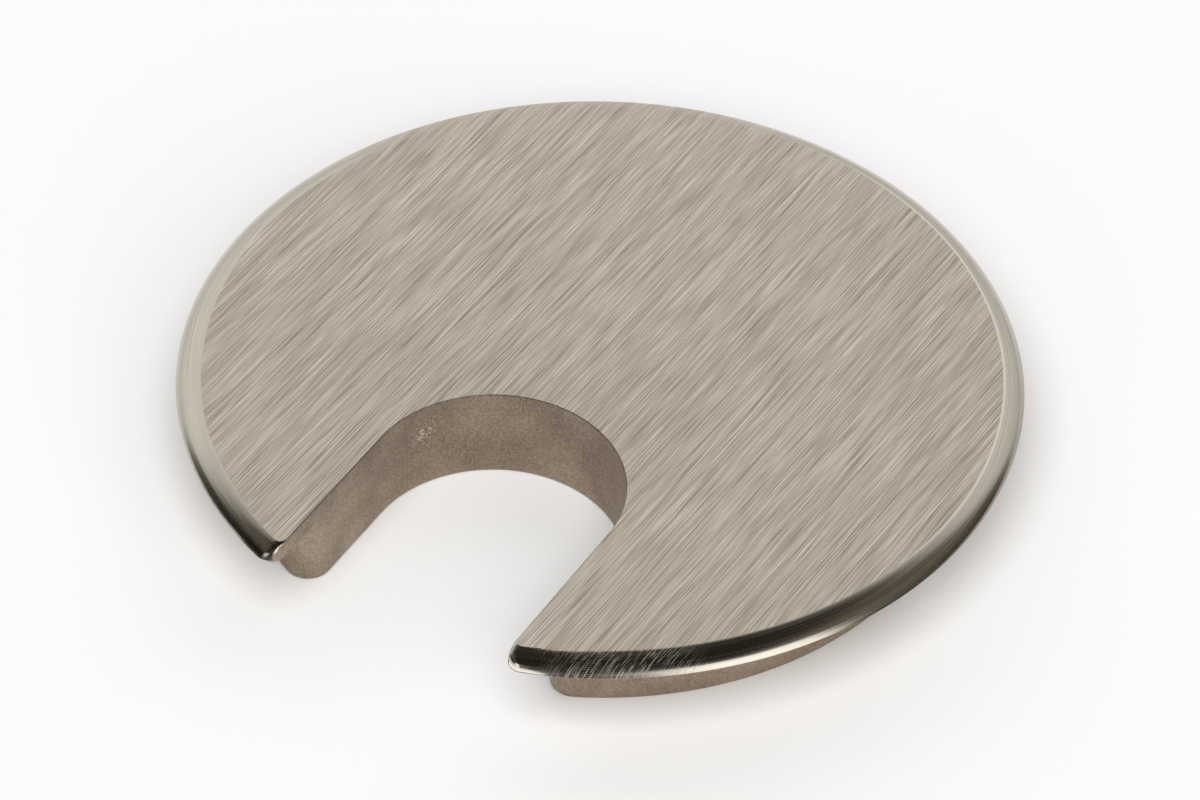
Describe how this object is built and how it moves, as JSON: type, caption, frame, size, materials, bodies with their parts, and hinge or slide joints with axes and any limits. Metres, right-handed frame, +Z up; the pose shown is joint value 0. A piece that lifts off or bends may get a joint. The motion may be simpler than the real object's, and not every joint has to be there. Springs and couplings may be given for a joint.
{
  "type": "desk grommet",
  "caption": "Round metal desk grommet with a flat brushed face, a rounded rim, an open cable slot and a hollow skirt that drops into a bored hole and is held by spring clips.",
  "frame": {"origin": "on the axis of the bored hole, in the plane of the flange's underside, which is the desk top", "axes": "+Z up out of the desk, cable slot opening to -Y, X across the slot"},
  "size_m": [0.07, 0.0678, 0.0086],
  "materials": {
    "cover": "satin nickel plate, brushed face, smooth rim, matte as-cast skirt",
    "clip": "bright spring steel strip"
  },
  "bodies": {
    "cover": {"cover_casting": "cover"},
    "clip_left": {"retaining_clip_left": "clip"},
    "clip_right": {"retaining_clip_right": "clip"}
  },
  "joints": [
    {"name": "clip_left_flex", "type": "hinge", "parent": "cover", "child": "clip_left", "pos_m": [-0.0284, 0, -0.00655], "axis": [0, 1, 0], "range_deg": [0, 10], "stiffness_Nm_per_rad": 0.27},
    {"name": "clip_right_flex", "type": "hinge", "parent": "cover", "child": "clip_right", "pos_m": [0.0284, 0, -0.00655], "axis": [0, -1, 0], "range_deg": [0, 10], "stiffness_Nm_per_rad": 0.27}
  ]
}
